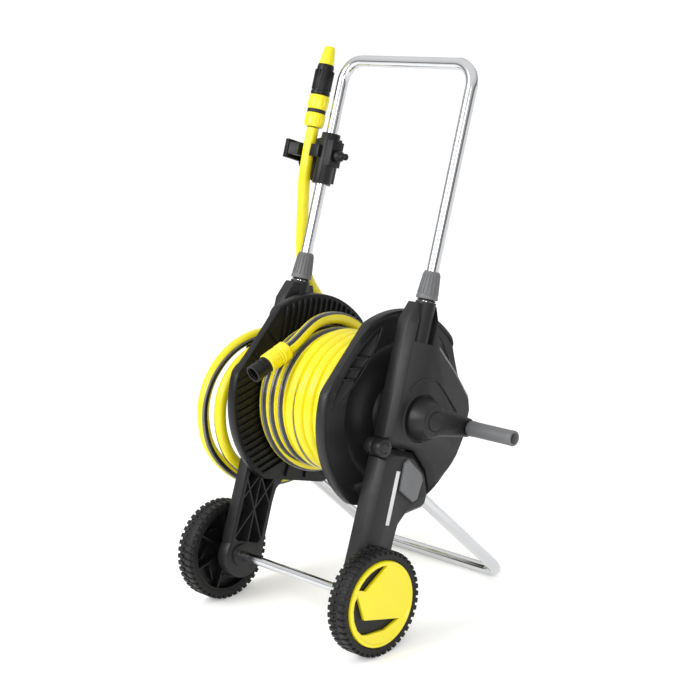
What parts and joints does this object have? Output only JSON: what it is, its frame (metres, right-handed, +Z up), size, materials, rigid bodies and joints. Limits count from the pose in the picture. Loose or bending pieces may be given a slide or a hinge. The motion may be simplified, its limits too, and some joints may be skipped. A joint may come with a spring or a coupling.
{
  "type": "garden hose reel cart",
  "caption": "Wheeled garden hose cart: a cranked drum of wound hose between hinged side frames, with a telescopic U handle, nozzle holder and prop stand.",
  "frame": {"origin": "on the floor, under the middle of the cart without its hose", "axes": "+X along the axle towards the crank, +Y towards the prop stand, +Z up"},
  "size_m": [0.505, 0.427, 0.8767],
  "materials": {
    "black_plastic": "black fine-textured polypropylene",
    "grey_plastic": "mid-grey moulded plastic",
    "yellow_plastic": "bright yellow moulded plastic",
    "yellow_hose": "yellow flexible hose with black and grey stripes",
    "aluminium_tube": "polished bright tube",
    "steel": "plated steel",
    "tyre": "black hard tyre with a lugged tread",
    "black_rubber": "black rubber"
  },
  "bodies": {
    "frame": {"side_panel_left": "black_plastic", "side_panel_right": "black_plastic", "shaft_bush_left": "grey_plastic", "shaft_bush_right": "grey_plastic", "inlet_elbow": "black_plastic", "inlet_collar": "grey_plastic", "shaft_seal": "black_rubber", "grip_cone_left": "black_rubber", "grip_cone_right": "black_rubber", "knee_pin_left": "steel", "knee_pin_right": "steel", "hose_hanger": "black_plastic", "supply_loops": "yellow_hose"},
    "legs": {"lower_leg_left": "black_plastic", "lower_leg_right": "black_plastic", "axle_rod": "steel", "axle_sleeve": "aluminium_tube", "axle_clip_left": "steel", "axle_clip_right": "steel", "stand_pin_left": "steel", "stand_pin_right": "steel"},
    "stand": {"stand_tube": "aluminium_tube"},
    "release_button_left": {"release_button_left": "grey_plastic"},
    "release_button_right": {"release_button_right": "grey_plastic"},
    "wheel_left": {"tyre_left": "tyre", "wheel_rim_left": "black_plastic", "wheel_cap_left": "yellow_plastic"},
    "wheel_right": {"tyre_right": "tyre", "wheel_rim_right": "black_plastic", "wheel_cap_right": "yellow_plastic"},
    "drum": {"drum_flange_left": "black_plastic", "drum_flange_right": "black_plastic", "drum_barrel": "black_plastic", "drum_shaft": "black_plastic", "hose_winding": "yellow_hose", "hose_tail": "yellow_hose", "coupling_nut": "yellow_plastic", "coupling_mouth": "black_plastic", "crank_arm": "black_plastic", "crank_screw": "steel", "crank_cap": "black_plastic", "crank_pin": "steel"},
    "crank_grip": {"crank_grip": "grey_plastic"},
    "handle": {"handle_tube": "aluminium_tube", "hose_holder": "black_plastic", "nozzle_nut": "yellow_plastic", "nozzle_seal": "black_rubber", "nozzle_collar": "yellow_plastic", "nozzle_body": "black_plastic", "supply_riser": "yellow_hose"},
    "twist_collar_left": {"twist_collar_left": "grey_plastic"},
    "twist_collar_right": {"twist_collar_right": "grey_plastic"},
    "holder_knob": {"holder_knob": "black_plastic"},
    "nozzle_tip": {"nozzle_tip": "yellow_plastic"}
  },
  "joints": [
    {"name": "leg_fold", "type": "hinge", "parent": "frame", "child": "legs", "pos_m": [-0.0265, -0.07503, 0.30556], "axis": [-1, 0, 0], "range_deg": [0, 110]},
    {"name": "stand_fold", "type": "hinge", "parent": "legs", "child": "stand", "pos_m": [-0.0265, -0.02231, 0.23619], "axis": [-1, 0, 0], "range_deg": [0, 55]},
    {"name": "button_press_left", "type": "slide", "parent": "legs", "child": "release_button_left", "axis": [1, 0, 0], "range_m": [0, 0.004], "stiffness_N_per_m": 600},
    {"name": "button_press_right", "type": "slide", "parent": "legs", "child": "release_button_right", "axis": [-1, 0, 0], "range_m": [0, 0.004], "stiffness_N_per_m": 600},
    {"name": "wheel_spin_left", "type": "hinge", "parent": "legs", "child": "wheel_left", "pos_m": [-0.2025, -0.1315, 0.082], "axis": [1, 0, 0], "continuous": true},
    {"name": "wheel_spin_right", "type": "hinge", "parent": "legs", "child": "wheel_right", "pos_m": [0.1495, -0.1315, 0.082], "axis": [1, 0, 0], "continuous": true},
    {"name": "drum_spin", "type": "hinge", "parent": "frame", "child": "drum", "pos_m": [-0.0265, 0.00683, 0.33211], "axis": [1, 0, 0], "continuous": true},
    {"name": "crank_grip_spin", "type": "hinge", "parent": "drum", "child": "crank_grip", "pos_m": [0.2075, 0.0825, 0.30322], "axis": [1, 0, 0], "continuous": true},
    {"name": "handle_slide", "type": "slide", "parent": "frame", "child": "handle", "axis": [0, 0.3567, 0.9342], "range_m": [-0.11, 0], "deforming": ["supply_riser"]},
    {"name": "collar_twist_left", "type": "hinge", "parent": "frame", "child": "twist_collar_left", "pos_m": [-0.1675, 0.05517, 0.5288], "axis": [0, 0.3567, 0.9342], "range_deg": [0, 60]},
    {"name": "collar_twist_right", "type": "hinge", "parent": "frame", "child": "twist_collar_right", "pos_m": [0.1145, 0.05517, 0.5288], "axis": [0, 0.3567, 0.9342], "range_deg": [0, 60]},
    {"name": "holder_screw", "type": "hinge", "parent": "handle", "child": "holder_knob", "pos_m": [-0.1465, 0.12153, 0.70257], "axis": [1, 0, 0], "range_deg": [-180, 180]},
    {"name": "nozzle_twist", "type": "hinge", "parent": "handle", "child": "nozzle_tip", "pos_m": [-0.2015, 0.16739, 0.85632], "axis": [0, 0.3567, 0.9342], "range_deg": [-90, 90]}
  ]
}
